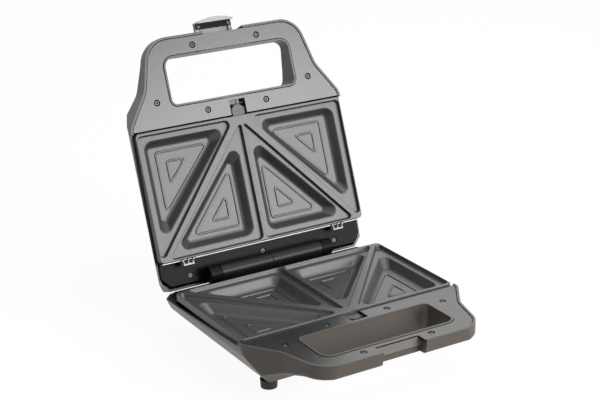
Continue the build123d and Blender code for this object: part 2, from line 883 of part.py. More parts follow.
def foot(x, y):
    """Rubber foot with a recess for its screw."""
    bottom = -case_depth - foot_height
    cone = Cone(foot_r - foot_taper, foot_r, foot_height, align=(Align.CENTER, Align.CENTER, Align.MIN))
    recess = column(x, y, bottom - 1, bottom + foot_height / 2, screw_head_r + running_gap)
    hole = column(x, y, bottom, -case_depth + 1, screw_shank_r + running_gap)
    return Pos(x, y, bottom) * cone - recess - hole


def foot_screws():
    seat = -case_depth - foot_height / 2
    end = seat + foot_screw_length
    return [
        column(x, y, seat - screw_head_height, seat, screw_head_r) + column(x, y, seat, end, screw_shank_r)
        for _, foot_x, y in foot_places
        for x in (-foot_x, foot_x)
    ]


def cord_gland():
    """Bush in the back wall, with a flange each side and a short nose."""
    inner = body_back_y - wall
    outline_half = [
        (bush_bore_r, inner - bush_flange),
        (bush_flange_r, inner - bush_flange),
        (bush_flange_r, inner),
        (bush_r, inner),
        (bush_r, body_back_y),
        (bush_flange_r, body_back_y),
        (bush_flange_r, body_back_y + bush_flange),
        (bush_r, body_back_y + bush_flange),
        (bush_bore_r + bush_lip, body_back_y + bush_flange + bush_nose),
        (bush_bore_r, body_back_y + bush_flange + bush_nose),
    ]
    section = make_face(Polyline(*outline_half, close=True))
    return Pos(bush_x, 0, bush_z) * revolve(section, axis=Axis.Y)


def terminal_block():
    """Ceramic block with three wire holes and a clamping screw's hole over each."""
    length, depth, height = terminal_size
    floor = -case_depth + wall
    back = body_back_y - terminal_setback
    y, z = back - depth / 2, floor + terminal_bore_level
    body = block(bush_x - length / 2, bush_x + length / 2, back - depth, back, floor, floor + height)
    for i in (-1, 0, 1):
        x = bush_x + terminal_pitch * i
        body = body - Pos(x, y, z) * Rot(90, 0, 0) * Cylinder(terminal_bore_r, 2 * depth)
        body = body - column(x, y, z, floor + height + 1, terminal_screw_r)
    return body


def thermostat():
    """Snap thermostat under the middle of the reflector, with its two ears."""
    y, top = plate_depth / 2, -reflector_underside
    cap_r, cap = thermostat_cap
    ear, ear_half_width = thermostat_ear
    low = top - thermostat_height
    can = column(0, y, low, top, thermostat_r) + column(0, y, low - cap, low, cap_r)
    return can + block(-ear, ear, y - ear_half_width, y + ear_half_width, top - sheet, top)


def thermal_fuse():
    z = -reflector_underside - fuse_r - fuse_gap
    y, end = plate_depth / 2, fuse_x + fuse_length
    leads = cross_bar(fuse_x - fuse_lead, end + fuse_lead, y, z, fuse_lead_r)
    return cross_bar(fuse_x, end, y, z, fuse_r) + leads


def lens(side):
    """Indicator lens, drawn like the base: its flange bears on the inside of the wall."""
    roof = -case_depth + wall
    stem = column(side * lens_x, lens_y, -case_depth - lens_stand, roof + lamp_post, lens_r)
    return stem + column(side * lens_x, lens_y, roof, roof + lens_flange, lens_flange_r)


def lamp_holder():
    """Block on two posts that carries both lamps behind their lenses."""
    low = -case_depth + wall + lamp_post
    half_depth, height = lamp_block
    x = 2 * lens_x + lamp_post
    return block(-x, x, lens_y - half_depth, lens_y + half_depth, low, low + height)


def opened(solid):
    """A piece drawn in its closed place in the lid, swung to where the open lid holds it."""
    return solid.rotate(hinge_axis, -lid_open_angle)


def in_lid(solid):
    """A piece drawn like the base, mirrored into the lid and swung open."""
    return opened(mirror(solid, about=Plane.XY))


def swung_out(clip):
    """The clip a quarter turn away from its hooked place."""
    return clip.rotate(Axis((0, latch_pivot_y, latch_pivot_z), (1, 0, 0)), -90)


def group(solids):
    return Compound(children=[s for solid in solids for s in solid.solids()])


def base_pieces():
    pieces = {
        "base_shell": base_shell(),
        "base_handle_cover": base_handle_cover(),
        "base_handle_screws": group(screws(handle_screws, -cover_level)),
        "lower_plate": plate(),
        "lower_plate_clips": group(plate_clips()),
        "lower_catch": catch(),
        "lower_catch_spring": catch_spring(),
        "lower_reflector": reflector(),
        "lower_reflector_screws": group(reflector_screws()),
        "lower_element": element(),
        "base_rear_cover": base_rear_cover(),
        "base_rear_screws": group(screws(rear_screws, -rear_cover_level)),
        "hinge_pin": cross_bar(-hinge_pin_length() / 2, hinge_pin_length() / 2, hinge_y, 0, hinge_pin_r),
        "foot_screws": group(foot_screws()),
        "cord_gland": cord_gland(),
        "terminal_block": terminal_block(),
        "thermostat": thermostat(),
        "thermal_fuse": thermal_fuse(),
    }
    for row, x, y in foot_places:
        pieces[f"foot_{row}_left"] = foot(-x, y)
        pieces[f"foot_{row}_right"] = foot(x, y)
    return pieces


def lid_pieces():
    side = latch_half_width + latch_pocket_gap + latch_pin_seat
    pin = cross_bar(-side, side, latch_pivot_y, latch_pivot_z, latch_pin_r)
    drawn_below = {
        "lid_shell": lid_shell(),
        "lid_handle_cover": lid_handle_cover(),
        "lid_handle_screws": group(screws(handle_screws, -cover_level)),
        "upper_plate": plate(),
        "upper_plate_clips": group(plate_clips()),
        "upper_catch": catch(),
        "upper_catch_spring": catch_spring(),
        "upper_reflector": reflector(),
        "upper_reflector_screws": group(reflector_screws()),
        "upper_element": element(),
        "lid_rear_cover": lid_rear_cover(),
        "lid_rear_screws": group(screws(rear_screws, -rear_cover_level)),
        "power_lens": lens(-1),
        "ready_lens": lens(1),
        "lamp_holder": lamp_holder(),
    }
    pieces = {name: in_lid(solid) for name, solid in drawn_below.items()}
    pieces["latch_clip"] = opened(swung_out(latch_clip()))
    pieces["latch_pin"] = opened(pin)
    return pieces


def stand_on_feet(pieces):
    """Move the whole so that the origin is the middle of its footprint, at the feet."""
    boxes = [piece.bounding_box() for piece in pieces.values()]
    front = min(box.min.Y for box in boxes)
    back = max(box.max.Y for box in boxes)
    lift = case_depth + foot_height
    return Pos(0, -(front + back) / 2, lift), (front + back) / 2, lift


pieces = base_pieces() | lid_pieces()
placing, origin_y, lift = stand_on_feet(pieces)
os.makedirs("parts", exist_ok=True)
for name, piece in pieces.items():
    export_step(placing * piece, f"parts/{name}.step")
print(f"{len(pieces)} nodes; origin at y {origin_y:.3f}, {lift:.3f} below the parting plane")
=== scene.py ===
import json
import math

import bmesh
import bpy
from mathutils import Matrix, Vector

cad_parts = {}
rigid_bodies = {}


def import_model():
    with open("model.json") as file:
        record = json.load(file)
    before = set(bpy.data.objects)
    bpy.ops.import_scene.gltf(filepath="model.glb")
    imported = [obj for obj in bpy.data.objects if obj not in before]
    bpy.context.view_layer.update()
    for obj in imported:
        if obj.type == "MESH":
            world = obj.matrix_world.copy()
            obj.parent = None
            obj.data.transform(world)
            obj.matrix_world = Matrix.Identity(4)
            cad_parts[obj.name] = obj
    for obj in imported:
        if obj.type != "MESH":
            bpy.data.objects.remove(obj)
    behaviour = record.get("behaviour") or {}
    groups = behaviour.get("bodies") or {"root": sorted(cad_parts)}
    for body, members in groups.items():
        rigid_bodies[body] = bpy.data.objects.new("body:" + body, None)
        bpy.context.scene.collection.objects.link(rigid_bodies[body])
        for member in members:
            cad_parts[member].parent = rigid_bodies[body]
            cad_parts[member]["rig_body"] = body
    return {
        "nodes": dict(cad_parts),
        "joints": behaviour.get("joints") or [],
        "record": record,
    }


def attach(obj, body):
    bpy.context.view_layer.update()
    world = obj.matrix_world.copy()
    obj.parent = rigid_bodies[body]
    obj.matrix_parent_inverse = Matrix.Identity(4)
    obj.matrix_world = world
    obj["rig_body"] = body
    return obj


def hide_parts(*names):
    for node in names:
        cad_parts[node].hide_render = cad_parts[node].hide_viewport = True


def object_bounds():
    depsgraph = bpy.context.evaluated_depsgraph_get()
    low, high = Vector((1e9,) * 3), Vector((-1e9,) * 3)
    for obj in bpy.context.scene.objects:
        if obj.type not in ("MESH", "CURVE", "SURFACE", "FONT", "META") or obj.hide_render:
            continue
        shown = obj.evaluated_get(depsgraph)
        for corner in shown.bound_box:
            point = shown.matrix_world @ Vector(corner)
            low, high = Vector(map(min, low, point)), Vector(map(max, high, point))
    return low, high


# Sandwich toaster, dressed for the picture. Lengths are in metres, mm turns millimetres into them.
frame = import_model()
cadLow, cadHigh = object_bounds()
mm = 0.001
print("frame loaded:", len(frame["nodes"]), "nodes")

jointOf = {joint["name"]: joint for joint in frame["joints"]}
slotOf = {part["node"]: part["material_slot"] for part in frame["record"]["subparts"]}
hinge = Vector(jointOf["lid_hinge"]["pos_m"])
lidOpen = math.radians(max(jointOf["lid_hinge"]["range_deg"]))

# takes a shape drawn in the base to its twin in the open lid: mirrored in the parting plane, then swung
toLid = (
    Matrix.Translation(hinge)
    @ Matrix.Rotation(-lidOpen, 4, "X")
    @ Matrix.Diagonal((1, 1, -1, 1))
    @ Matrix.Translation(-hinge)
)


# takes a shape drawn on the latch, hooked and closed, to where the open lid holds it swung out
swingOpen = Matrix.Translation(hinge) @ Matrix.Rotation(-lidOpen, 4, "X") @ Matrix.Translation(-hinge)
latchPivot = swingOpen.inverted() @ Vector(jointOf["latch_hinge"]["pos_m"])
toLatch = (
    swingOpen
    @ Matrix.Translation(latchPivot)
    @ Matrix.Rotation(math.radians(-90), 4, "X")
    @ Matrix.Translation(-latchPivot)
)


# finishes: one class that builds Principled materials out of nodes

class Value:
    # one socket of a node; sums and products of values add their Math nodes
    def __init__(self, finish, socket):
        self.finish, self.socket = finish, socket

    def maths(self, operation, first, second):
        return self.finish.node("ShaderNodeMath", {"operation": operation}, {0: first, 1: second})

    def __add__(self, other):
        return self.maths("ADD", self, other)

    def __sub__(self, other):
        return self.maths("SUBTRACT", self, other)

    def __rsub__(self, other):
        return self.maths("SUBTRACT", other, self)

    def __mul__(self, other):
        return self.maths("MULTIPLY", self, other)

    __radd__ = __add__
    __rmul__ = __mul__


class Finish:
    # a Principled material; constants go straight on its sockets
    def __init__(self, name, constants):
        self.material = bpy.data.materials.new(name)
        self.material.use_nodes = True
        self.tree = self.material.node_tree
        self.shader = self.tree.nodes["Principled BSDF"]
        for socket, value in constants.items():
            self.shader.inputs[socket].default_value = value

    def node(self, kind, settings, inputs, output=0):
        made = self.tree.nodes.new(kind)
        for name, value in settings.items():
            if name == "stops":
                ramp = made.color_ramp.elements
                while len(ramp) < len(value):
                    ramp.new(1.0)
                for stop, (place, colour) in zip(ramp, value):
                    stop.position, stop.color = place, colour
            else:
                setattr(made, name, value)
        for socket, value in inputs.items():
            if isinstance(value, Value):
                self.tree.links.new(value.socket, made.inputs[socket])
            else:
                made.inputs[socket].default_value = value
        return Value(self, made.outputs[output])

    def place(self):
        return self.node("ShaderNodeTexCoord", {}, {}, "Object")

    def noise(self, scale, detail=2.0, roughness=0.5):
        inputs = {"Vector": self.place(), "Scale": scale, "Detail": detail, "Roughness": roughness}
        return self.node("ShaderNodeTexNoise", {}, inputs, "Fac")

    def ramp(self, value, stops):
        return self.node("ShaderNodeValToRGB", {"stops": stops}, {"Fac": value}, "Color")

    def remap(self, value, fromLow, fromHigh, low, high):
        inputs = {"Value": value, "From Min": fromLow, "From Max": fromHigh, "To Min": low, "To Max": high}
        return self.node("ShaderNodeMapRange", {}, inputs, "Result")

    def drive(self, socket, value):
        self.tree.links.new(value.socket, self.shader.inputs[socket])

    def bump(self, height, distance, strength=1.0):
        inputs = {"Height": height, "Distance": distance, "Strength": strength}
        self.drive("Normal", self.node("ShaderNodeBump", {}, inputs, "Normal"))


def grey(level):
    return (level, level, level, 1.0)


def taupeShell():
    look = {
        "dark": (0.040, 0.0335, 0.0275, 1), "light": (0.060, 0.0515, 0.0435, 1),
        "flakeScale": 2600, "roughness": (0.36, 0.44), "cloudScale": 22, "grain": 0.02 * mm,
    }
    finish = Finish("taupeShell", {"Specular IOR Level": 0.36})
    flakes = finish.noise(look["flakeScale"], 2.0, 0.6)
    clouds = finish.noise(look["cloudScale"], 3.0, 0.5)
    mixed = flakes * 0.8 + clouds * 0.2
    finish.drive("Base Color", finish.ramp(mixed, [(0.36, look["dark"]), (0.64, look["light"])]))
    low, high = look["roughness"]
    finish.drive("Roughness", finish.remap(clouds, 0.3, 0.7, low, high))
    finish.bump(flakes, look["grain"], 0.3)
    return finish.material


def nonstickCoating(name, dark, light, roughness, specular):
    look = {
        "dark": (*dark, 1), "light": (*light, 1), "fleck": (0.16, 0.16, 0.16, 1),
        "grainScale": 1300, "fleckScale": 2100, "roughness": roughness, "grain": 0.04 * mm,
    }
    finish = Finish(name, {"Specular IOR Level": specular})
    grain = finish.noise(look["grainScale"], 3.0, 0.65)
    flecks = finish.noise(look["fleckScale"], 1.0, 0.5)
    base = finish.ramp(grain, [(0.35, look["dark"]), (0.65, look["light"])])
    mask = finish.remap(flecks, 0.62, 0.72, 0.0, 0.5)
    mixed = finish.node("ShaderNodeMix", {"data_type": "RGBA"}, {0: mask, 6: base, 7: look["fleck"]}, 2)
    finish.drive("Base Color", mixed)
    low, high = look["roughness"]
    finish.drive("Roughness", finish.remap(grain, 0.35, 0.65, low, high))
    finish.bump(grain + flecks * 0.5, look["grain"], 0.35)
    return finish.material


def plainMetal(name, colour, roughness, brushScale, streak):
    # sheet or turned metal: fine streaks in the gloss and the tint
    finish = Finish(name, {"Metallic": 1.0})
    stretched = finish.node("ShaderNodeMapping", {}, {"Vector": finish.place(), "Scale": (0.05, 1.0, 1.0)})
    inputs = {"Vector": stretched, "Scale": brushScale, "Detail": 3.0}
    brushing = finish.node("ShaderNodeTexNoise", {}, inputs, "Fac")
    dull = tuple(c * (1 - streak) for c in colour)
    finish.drive("Base Color", finish.ramp(brushing, [(0.35, (*dull, 1)), (0.65, (*colour, 1))]))
    low, high = roughness
    finish.drive("Roughness", finish.remap(brushing, 0.35, 0.65, low, high))
    finish.bump(brushing, 0.01 * mm, 0.2)
    return finish.material


def softPlastic(name, colour, spread, roughness, grainScale, constants):
    # moulded plastic or rubber: a tint that wanders a little and a fine grain
    finish = Finish(name, constants)
    grain = finish.noise(grainScale, 3.0, 0.6)
    dark = tuple(c * (1 - spread) for c in colour)
    light = tuple(c * (1 + spread) for c in colour)
    finish.drive("Base Color", finish.ramp(grain, [(0.3, (*dark, 1)), (0.7, (*light, 1))]))
    low, high = roughness
    finish.drive("Roughness", finish.remap(grain, 0.3, 0.7, low, high))
    finish.bump(grain, 0.03 * mm, 0.3)
    return finish.material


finishes = {
    "taupe_shell": taupeShell(),
    "black_cover": softPlastic(
        "blackCover", (0.014, 0.014, 0.0145), 0.25, (0.28, 0.34), 1500, {}
    ),
    # darker copy of the cover plastic with a weaker reflection: painted shade on the base's handle cover
    "shaded_base_cover": softPlastic(
        "shadedBaseCover", (0.010, 0.010, 0.0105), 0.25, (0.22, 0.28), 1500, {"Specular IOR Level": 0.3}
    ),
    # near-black copy of the cover plastic, painted shade: it darkens the lid's rear panel for the shade there, and
    # colours the black stand-ins for shade under the clips, in the latch and round the screws
    "shade_black": softPlastic(
        "shadeBlack", (0.0042, 0.0042, 0.0043), 0.2, (0.34, 0.42), 1500, {"Specular IOR Level": 0.05}
    ),
    # darker copy of the cover plastic, painted shade on the base's rear cover and its hinge barrels
    "shaded_barrel_black": softPlastic(
        "shadedBarrelBlack", (0.006, 0.006, 0.0062), 0.2, (0.32, 0.40), 1500, {"Specular IOR Level": 0.15}
    ),
    "nonstick": nonstickCoating(
        "nonstickCoating", (0.014, 0.014, 0.0145), (0.034, 0.034, 0.035), (0.36, 0.46), 0.52
    ),
    # lighter, glossier copy of the lid plate's coating: painted light on the lower plate
    "lit_base_coating": nonstickCoating(
        "litBaseCoating", (0.016, 0.016, 0.0165), (0.038, 0.038, 0.039), (0.40, 0.50), 0.72
    ),
    "polished": plainMetal("polishedSheet", (0.17, 0.17, 0.168), (0.36, 0.46), 300, 0.08),
    "steel": plainMetal("screwSteel", (0.085, 0.085, 0.0855), (0.34, 0.44), 700, 0.2),
    "spring_steel": plainMetal("springSteel", (0.085, 0.085, 0.084), (0.3, 0.4), 500, 0.15),
    "heater": plainMetal("heaterSheath", (0.20, 0.19, 0.18), (0.4, 0.55), 400, 0.3),
    "silver_latch": softPlastic(
        "latchSilver", (0.24, 0.238, 0.234), 0.08, (0.34, 0.42), 1800, {"Specular IOR Level": 0.4}
    ),
    "grey_catch": softPlastic("catchGrey", (0.055, 0.055, 0.056), 0.15, (0.35, 0.45), 1500, {"Specular IOR Level": 0.26}),
    "foot_rubber": softPlastic("footRubber", (0.012, 0.012, 0.012), 0.3, (0.6, 0.75), 900, {}),
    "bush": softPlastic("cordBush", (0.016, 0.016, 0.016), 0.3, (0.45, 0.55), 1200, {}),
    "ceramic": softPlastic("ceramicWhite", (0.70, 0.69, 0.65), 0.04, (0.5, 0.6), 700, {}),
    "red_lens": softPlastic(
        "redLens", (0.45, 0.015, 0.015), 0.1, (0.12, 0.2), 500, {"Coat Weight": 0.5}
    ),
    "green_lens": softPlastic(
        "greenLens", (0.02, 0.30, 0.05), 0.1, (0.12, 0.2), 500, {"Coat Weight": 0.5}
    ),
}
print("finishes made:", len(finishes))

# the lower plate takes the lighter copy of the coating, painted light
finishOf = {"lower_plate": "lit_base_coating"}
for name, node in frame["nodes"].items():
    for place in node.material_slots:
        place.material = finishes[finishOf.get(name, slotOf[name])]


# pieces: a copy of a CAD node with its edges rounded, or a shape of its own where the node is plain

def newPiece(name, bm, slot, body, material=None):
    mesh = bpy.data.meshes.new(name)
    bm.to_mesh(mesh)
    bm.free()
    piece = bpy.data.objects.new(name, mesh)
    bpy.context.scene.collection.objects.link(piece)
    mesh.materials.append(finishes[material or slot])
    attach(piece, body)
    return piece


def softenEdges(piece, width, segments=2, angle=28):
    # a small round on every hard edge, with the flats kept flat in the shading
    for face in piece.data.polygons:
        face.use_smooth = True
    rounding = piece.modifiers.new("rounding", "BEVEL")
    rounding.width = width
    rounding.segments = segments
    rounding.limit_method = "ANGLE"
    rounding.angle_limit = math.radians(angle)
    rounding.use_clamp_overlap = True
    rounding.miter_outer = "MITER_ARC"
    shading = piece.modifiers.new("shading", "WEIGHTED_NORMAL")
    shading.mode = "FACE_AREA"
    shading.weight = 100
    shading.thresh = 0.01


def merged(node):
    # the node's own mesh as one surface, its flats joined up
    bm = bmesh.new()
    bm.from_mesh(frame["nodes"][node].data)
    bmesh.ops.remove_doubles(bm, verts=bm.verts, dist=0.002 * mm)
    bmesh.ops.dissolve_limit(bm, angle_limit=math.radians(0.4), verts=bm.verts, edges=bm.edges)
    for edge in bm.edges:
        edge.smooth = True
    return bm


def dressed(node, edge, material=None, reshape=None):
    bm = merged(node)
    if reshape:
        reshape(bm, toLid if node.startswith(("lid", "upper")) else Matrix.Identity(4))
    piece = newPiece(node.replace("_", "-") + "-dressed", bm, slotOf[node],
                     frame["nodes"][node]["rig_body"], material)
    softenEdges(piece, edge)
    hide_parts(node)
    return piece


moulded = {
    "base_shell": (0.35, None), "lid_shell": (0.35, None), "base_handle_cover": (0.55, "shaded_base_cover"),
    "lid_handle_cover": (0.55, None), "latch_clip": (0.4, None), "lower_catch": (0.25, None),
    "upper_catch": (0.25, None),
}
for node, (edge, finish) in moulded.items():
    dressed(node, edge * mm, finish)


def closeTheGap(bm, place):
    # draws the reflector's rear wall and the panel behind it up to the plate, as the photograph shows them
    look = {"from": 17.5 * mm, "to": 15.4 * mm, "shift": 1.9 * mm, "deepest": 12.5 * mm}
    back = place.inverted()
    for vert in bm.verts:
        point = back @ vert.co
        ahead = hinge.y - point.y
        if look["to"] < ahead < look["from"] and hinge.z - point.z < look["deepest"] + look["shift"]:
            point.y -= look["shift"]
            vert.co = place @ point


dressed("base_rear_cover", 0.35 * mm, "shaded_barrel_black", closeTheGap)
# the lid's rear panel takes the near-black copy of the cover plastic, painted shade
dressed("lid_rear_cover", 0.35 * mm, "shade_black", closeTheGap)
dressed("lower_reflector", 0.15 * mm, None, closeTheGap)
dressed("upper_reflector", 0.15 * mm, None, closeTheGap)
print("moulded pieces dressed:", len(moulded) + 4)


def turned(profile, segments=32):
    # solid of revolution about Z from (radius, height) pairs that start and end on the axis
    bm = bmesh.new()
    points = [bm.verts.new((r, 0, z)) for r, z in profile]
    edges = [bm.edges.new(pair) for pair in zip(points, points[1:])]
    bmesh.ops.spin(
        bm, geom=points + edges, cent=(0, 0, 0), axis=(0, 0, 1), angle=2 * math.pi,
        steps=segments, use_merge=True,
    )
    bmesh.ops.remove_doubles(bm, verts=bm.verts, dist=0.001 * mm)
    bmesh.ops.recalc_face_normals(bm, faces=bm.faces)
    return bm


def taperedBar(length, width, depth, pinch):
    # bar through the origin along X, narrower at its foot
    bm = bmesh.new()
    bmesh.ops.create_cube(bm, size=1.0)
    for vert in bm.verts:
        share = pinch if vert.co.z < 0 else 1.0
        vert.co = Vector((vert.co.x * length * share, vert.co.y * width * share, (vert.co.z - 0.5) * depth))
        if vert.co.z > -depth / 2:
            vert.co.z = depth / 2
    return bm


def meshOf(bm, name):
    mesh = bpy.data.meshes.new(name)
    bm.to_mesh(mesh)
    bm.free()
    return mesh


def cutOut(body, cutters):
    # the body's mesh less each cutter's, as a new mesh
    whole = bpy.data.objects.new("whole", body)
    bpy.context.scene.collection.objects.link(whole)
    tools = []
    for cutter in cutters:
        tool = bpy.data.objects.new("tool", cutter)
        bpy.context.scene.collection.objects.link(tool)
        cut = whole.modifiers.new("cut", "BOOLEAN")
        cut.operation, cut.solver, cut.object = "DIFFERENCE", "EXACT", tool
        tools.append(tool)
    depsgraph = bpy.context.evaluated_depsgraph_get()
    result = bpy.data.meshes.new_from_object(whole.evaluated_get(depsgraph))
    for spent in [whole] + tools:
        bpy.data.objects.remove(spent)
    return result


def crossHeadScrew():
    # head with a Phillips recess; the top of the head is at z = 0
    size = {
        "head": 2.2, "edge": 0.45, "height": 1.5, "shank": 1.4, "length": 9.0,
        "arm": 3.7, "armWidth": 1.1, "recess": 1.2, "pinch": 0.2, "cone": 0.9,
    }
    head, edge, height = size["head"] * mm, size["edge"] * mm, size["height"] * mm
    shank, length = size["shank"] * mm, size["length"] * mm
    body = turned([
        (0, 0), (head - edge, 0), (head - 0.3 * edge, -0.6 * edge), (head, -edge), (head, -height),
        (shank, -height), (shank, -length), (0, -length),
    ])
    arm, width, recess = size["arm"] * mm, size["armWidth"] * mm, size["recess"] * mm
    cutters = []
    for turn in (0, 90):
        bar = taperedBar(arm, width, 2 * recess, size["pinch"])
        bmesh.ops.rotate(bar, verts=bar.verts, cent=(0, 0, 0), matrix=Matrix.Rotation(math.radians(turn), 3, "Z"))
        cutters.append(meshOf(bar, "bar"))
    cone = size["cone"] * mm
    cutters.append(meshOf(turned([(0, recess), (cone, recess), (cone, 0), (0.2 * cone, -recess), (0, -recess)], 16), "cone"))
    return cutOut(meshOf(body, "head"), cutters)


def islands(node):
    # the separate solids of a node, as lists of points
    bm = bmesh.new()
    bm.from_mesh(frame["nodes"][node].data)
    bmesh.ops.remove_doubles(bm, verts=bm.verts, dist=0.002 * mm)
    left, found = set(bm.verts), []
    for first in bm.verts:
        if first not in left:
            continue
        left.remove(first)
        queue, island = [first], []
        while queue:
            vert = queue.pop()
            island.append(vert.co.copy())
            for edge in vert.link_edges:
                other = edge.other_vert(vert)
                if other in left:
                    left.remove(other)
                    queue.append(other)
        found.append(island)
    bm.free()
    return found


def addShadeRing(bm, place, inner, outer, low, high, segments=24):
    # flat dark ring about the screw's axis, low and high below the top of its head: painted shade in the counterbore
    rows = []
    for radius, depth in ((inner, low), (outer, low), (outer, high), (inner, high)):
        turns = [2 * math.pi * i / segments for i in range(segments)]
        rows.append([bm.verts.new(place @ Vector((radius * math.cos(a), radius * math.sin(a), -depth))) for a in turns])
    for near, far in zip(rows, rows[1:] + rows[:1]):
        for i in range(segments):
            j = (i + 1) % segments
            bm.faces.new((near[i], near[j], far[j], far[i]))


def screwsOn(node, toPlace, turn):
    # one screw for each solid of the node, each with a black ring of painted shade in its counterbore; toPlace takes an
    # upright screw to the node's own pose
    size = {"inner": 2.1, "outer": 3.15, "low": 1.6, "high": 0.45}
    inner, outer, low, high = (value * mm for value in size.values())
    back = toPlace.inverted()
    joined, rings = bmesh.new(), bmesh.new()
    for count, points in enumerate(islands(node)):
        local = [back @ point for point in points]
        top = max(point.z for point in local)
        x = (min(p.x for p in local) + max(p.x for p in local)) / 2
        y = (min(p.y for p in local) + max(p.y for p in local)) / 2
        before = len(joined.verts)
        joined.from_mesh(screwMesh)
        joined.verts.ensure_lookup_table()
        place = toPlace @ Matrix.Translation((x, y, top)) @ Matrix.Rotation(math.radians(turn + 37 * count), 4, "Z")
        bmesh.ops.transform(joined, matrix=place, verts=joined.verts[before:])
        addShadeRing(rings, toPlace @ Matrix.Translation((x, y, top)), inner, outer, low, high)
    bmesh.ops.recalc_face_normals(joined, faces=joined.faces)
    body = frame["nodes"][node]["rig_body"]
    piece = newPiece(node.replace("_", "-") + "-cross-head", joined, slotOf[node], body)
    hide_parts(node)
    # the rings are painted shade: black stand-ins for the shadow in each screw's counterbore
    bmesh.ops.recalc_face_normals(rings, faces=rings.faces)
    newPiece(node.replace("_", "-") + "-shade", rings, "black_cover", body, "shade_black")


upright = Matrix.Identity(4)
turnedOver = Matrix.Rotation(math.pi, 4, "X")
screwMesh = crossHeadScrew()
for node, place in (
    ("base_handle_screws", upright), ("base_rear_screws", upright),
    ("lid_handle_screws", toLid), ("lid_rear_screws", toLid), ("foot_screws", turnedOver),
):
    screwsOn(node, place, 20)
print("screws made")


def addBox(bm, low, high):
    made = bmesh.ops.create_cube(bm, size=1.0)["verts"]
    middle, size = (Vector(low) + Vector(high)) / 2, Vector(high) - Vector(low)
    for vert in made:
        vert.co = Vector((vert.co.x * size.x, vert.co.y * size.y, vert.co.z * size.z)) + middle


def ribbon(bm, path, left, right, thick):
    # strip of even thickness along a side view of (y, z) points, from left to right
    rows = []
    for i, (y, z) in enumerate(path):
        ahead = Vector(path[min(i + 1, len(path) - 1)]) - Vector(path[max(i - 1, 0)])
        aside = Vector((-ahead.y, ahead.x)).normalized() * thick / 2
        rows.append([
            bm.verts.new((x, y + s * aside.x, z + s * aside.y))
            for x, s in ((left, 1), (right, 1), (right, -1), (left, -1))
        ])
    for one, two in zip(rows, rows[1:]):
        for i in range(4):
            bm.faces.new((one[i], one[(i + 1) % 4], two[(i + 1) % 4], two[i]))
    bm.faces.new(rows[0])
    bm.faces.new(rows[-1])


def arcPoints(middle, radius, start, end, steps=6):
    # points of an arc in a side view, angles in degrees from +Y towards +Z
    turn = [math.radians(start + (end - start) * i / steps) for i in range(steps + 1)]
    return [(middle[0] + radius * math.cos(a), middle[1] + radius * math.sin(a)) for a in turn]


def plateClips(node, place):
    # spring clip: a leg behind the reflector's wall and three prongs that curl over the plate's lug, above a black box
    # of painted shade
    size = {
        "across": 84.0, "width": 13.0, "prong": 1.6, "strip": 0.6, "reach": 3.0, "bend": 0.9,
        "top": 2.3, "leg": 8.0, "curl": 1.0, "notch": (17.0, 5.4, 3.6, 0.8), "lip": (11.5, 1.5, 3.4),
    }
    rear = hinge.y - 16.9 * mm
    top = hinge.z - size["top"] * mm
    bend, curl, strip = size["bend"] * mm, size["curl"] * mm, size["strip"] * mm
    front = rear - size["reach"] * mm
    path = (
        [(rear, top - size["leg"] * mm)]
        + arcPoints((rear - bend, top - bend), bend, 0, 90)
        + arcPoints((front + curl, top - curl), curl, 90, 250, 8)
    )
    metal, shade = bmesh.new(), bmesh.new()
    for side in (-1, 1):
        middle = side * size["across"] * mm
        half = size["width"] * mm / 2
        for prong in (-1, 0, 1):
            near = middle + prong * (half - size["prong"] * mm / 2)
            wide = size["prong"] * mm / 2 * (1.0 if prong else 0.7)
            points = path if prong else path[:-5]
            ribbon(metal, points, near - wide, near + wide, strip)
        addBox(metal, (middle - half, rear - strip / 2, top - size["leg"] * mm), (middle + half, rear + strip / 2, top - 3 * mm))
        # black box under the prongs: painted shade for the dark gap beneath the clip
        width, depth, low, thick = (value * mm for value in size["notch"])
        addBox(
            shade, (middle - width / 2, rear - 1.9 * mm, hinge.z - low),
            (middle + width / 2, rear - 1.9 * mm + depth, hinge.z - low + thick),
        )
        width, deep, back = (value * mm for value in size["lip"])
        level = hinge.z - low + thick
        addBox(
            metal, (middle - width / 2, rear + back - deep, level - 0.1 * mm),
            (middle + width / 2, rear + back, level + strip),
        )
        for arm in (-1, 0, 1):
            near = middle + arm * (half - size["prong"] * mm)
            addBox(
                metal, (near - 0.6 * mm, rear - 0.4 * mm, level - 0.1 * mm),
                (near + 0.6 * mm, rear + back - deep + 0.1 * mm, level + 0.35 * mm),
            )
    for bm, name, slot, finish in (
        (metal, "prongs", slotOf[node], None), (shade, "notch", "black_cover", "shade_black"),
    ):
        bmesh.ops.transform(bm, matrix=place, verts=bm.verts)
        bmesh.ops.recalc_face_normals(bm, faces=bm.faces)
        piece = newPiece(node.replace("_", "-") + "-" + name, bm, slot, frame["nodes"][node]["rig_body"], finish)
        softenEdges(piece, 0.08 * mm, 2, 50)
        if name == "prongs":
            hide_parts(node)


plateClips("lower_plate_clips", Matrix.Identity(4))
plateClips("upper_plate_clips", toLid)


